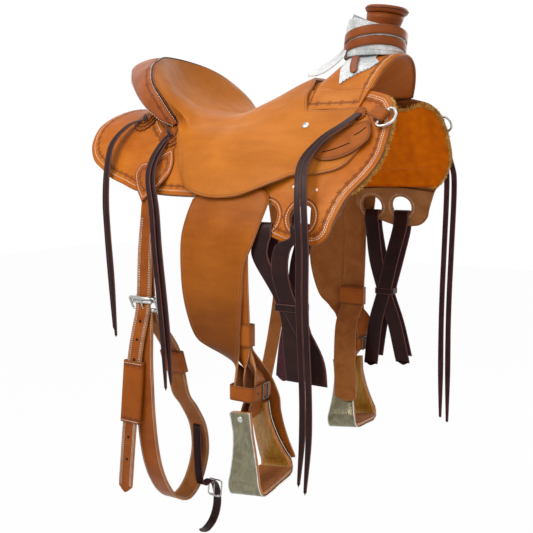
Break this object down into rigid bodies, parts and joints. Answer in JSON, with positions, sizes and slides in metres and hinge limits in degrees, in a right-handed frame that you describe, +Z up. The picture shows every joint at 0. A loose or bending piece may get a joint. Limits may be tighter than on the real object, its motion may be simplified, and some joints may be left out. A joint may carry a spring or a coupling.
{
  "type": "wade saddle",
  "caption": "Western stock saddle with a wrapped post horn, rolled cantle, full skirts, fenders, bound stirrups, hanging latigos, saddle strings and a flank cinch on one side",
  "frame": {"origin": "on the centre plane, on the ridge line of the horse's back, midway along the skirts", "axes": "+X toward the horn, +Y to the horse's left, +Z up"},
  "size_m": [0.7218, 0.59, 1.1563],
  "materials": {
    "skirt_leather": "satin",
    "seat_leather": "satin",
    "fender_leather": "satin",
    "latigo_leather": "satin",
    "horn_leather": "satin",
    "flesh_leather": "matte",
    "woolskin": "matte",
    "mulehide": "matte",
    "tree_wood": "satin",
    "rawhide": "satin",
    "stainless_steel": "brushed"
  },
  "bodies": {
    "saddle": {"cantle_roll": "seat_leather", "dee_chape_left": "skirt_leather", "dee_chape_right": "skirt_leather", "fork_cover": "skirt_leather", "ground_seat": "rawhide", "horn_cap": "horn_leather", "horn_post": "horn_leather", "horn_strap": "horn_leather", "horn_wrap": "mulehide", "latigo_left": "latigo_leather", "latigo_right": "latigo_leather", "leaf_tab_left": "flesh_leather", "leaf_tab_right": "flesh_leather", "rear_rig_safe_left": "skirt_leather", "rear_rig_safe_right": "skirt_leather", "rig_plate_left": "flesh_leather", "rig_plate_right": "flesh_leather", "seat": "seat_leather", "skirt_left": "skirt_leather", "skirt_right": "skirt_leather", "skirt_wool_left": "woolskin", "skirt_wool_right": "woolskin", "string_front_left": "latigo_leather", "string_front_right": "latigo_leather", "string_middle_left": "latigo_leather", "string_middle_right": "latigo_leather", "string_rear_left": "latigo_leather", "string_rear_right": "latigo_leather", "tree_bar_left": "tree_wood", "tree_bar_right": "tree_wood", "tree_cantle": "tree_wood", "tree_fork": "tree_wood"},
    "fender_and_leather_left": {"fender_left": "fender_leather", "stirrup_leather_left": "skirt_leather", "leather_keeper_left": "skirt_leather", "hobble_strap_left": "skirt_leather"},
    "stirrup_left": {"stirrup_bow_left": "tree_wood", "stirrup_binding_left": "stainless_steel", "stirrup_tread_left": "horn_leather", "stirrup_bolt_left": "stainless_steel"},
    "breast_ring_left": {"breast_dee_left": "stainless_steel"},
    "fender_and_leather_right": {"fender_right": "fender_leather", "stirrup_leather_right": "skirt_leather", "leather_keeper_right": "skirt_leather", "hobble_strap_right": "skirt_leather"},
    "stirrup_right": {"stirrup_bow_right": "tree_wood", "stirrup_binding_right": "stainless_steel", "stirrup_tread_right": "horn_leather", "stirrup_bolt_right": "stainless_steel"},
    "breast_ring_right": {"breast_dee_right": "stainless_steel"},
    "flank_rig": {"rear_billet_right": "skirt_leather", "flank_buckle_outer": "stainless_steel", "flank_buckle_inner": "stainless_steel", "flank_cinch": "skirt_leather", "flank_keeper_outer": "skirt_leather", "flank_keeper_inner": "skirt_leather", "connector_strap": "latigo_leather", "connector_buckle": "stainless_steel"},
    "billet_left": {"rear_billet_left": "skirt_leather"}
  },
  "joints": [
    {"name": "fender_swing_left", "type": "hinge", "parent": "saddle", "child": "fender_and_leather_left", "pos_m": [0.095, 0.186, 0.042], "axis": [0, 1, 0], "range_deg": [-0.5, 5]},
    {"name": "stirrup_swing_left", "type": "hinge", "parent": "fender_and_leather_left", "child": "stirrup_left", "pos_m": [0.101, 0.23, -0.49], "axis": [0, 0.9962, -0.0872], "range_deg": [-15, 15]},
    {"name": "fender_swing_right", "type": "hinge", "parent": "saddle", "child": "fender_and_leather_right", "pos_m": [0.095, -0.186, 0.042], "axis": [0, 1, 0], "range_deg": [-0.5, 5]},
    {"name": "stirrup_swing_right", "type": "hinge", "parent": "fender_and_leather_right", "child": "stirrup_right", "pos_m": [0.101, -0.23, -0.49], "axis": [0, 0.9962, 0.0872], "range_deg": [-15, 15]},
    {"name": "breast_ring_swing_left", "type": "hinge", "parent": "saddle", "child": "breast_ring_left", "pos_m": [0.343, 0.1611, 0.0884], "axis": [0.4226, -0.5594, 0.7131], "range_deg": [0, 60]},
    {"name": "breast_ring_swing_right", "type": "hinge", "parent": "saddle", "child": "breast_ring_right", "pos_m": [0.343, -0.1611, 0.0884], "axis": [-0.4226, -0.5594, -0.7131], "range_deg": [0, 60]},
    {"name": "flank_swing", "type": "hinge", "parent": "saddle", "child": "flank_rig", "pos_m": [-0.13, -0.238, -0.05], "axis": [0, 1, 0], "range_deg": [-5, 7]},
    {"name": "billet_swing_left", "type": "hinge", "parent": "saddle", "child": "billet_left", "pos_m": [-0.13, 0.238, -0.05], "axis": [0, 1, 0], "range_deg": [-5, 7]}
  ]
}
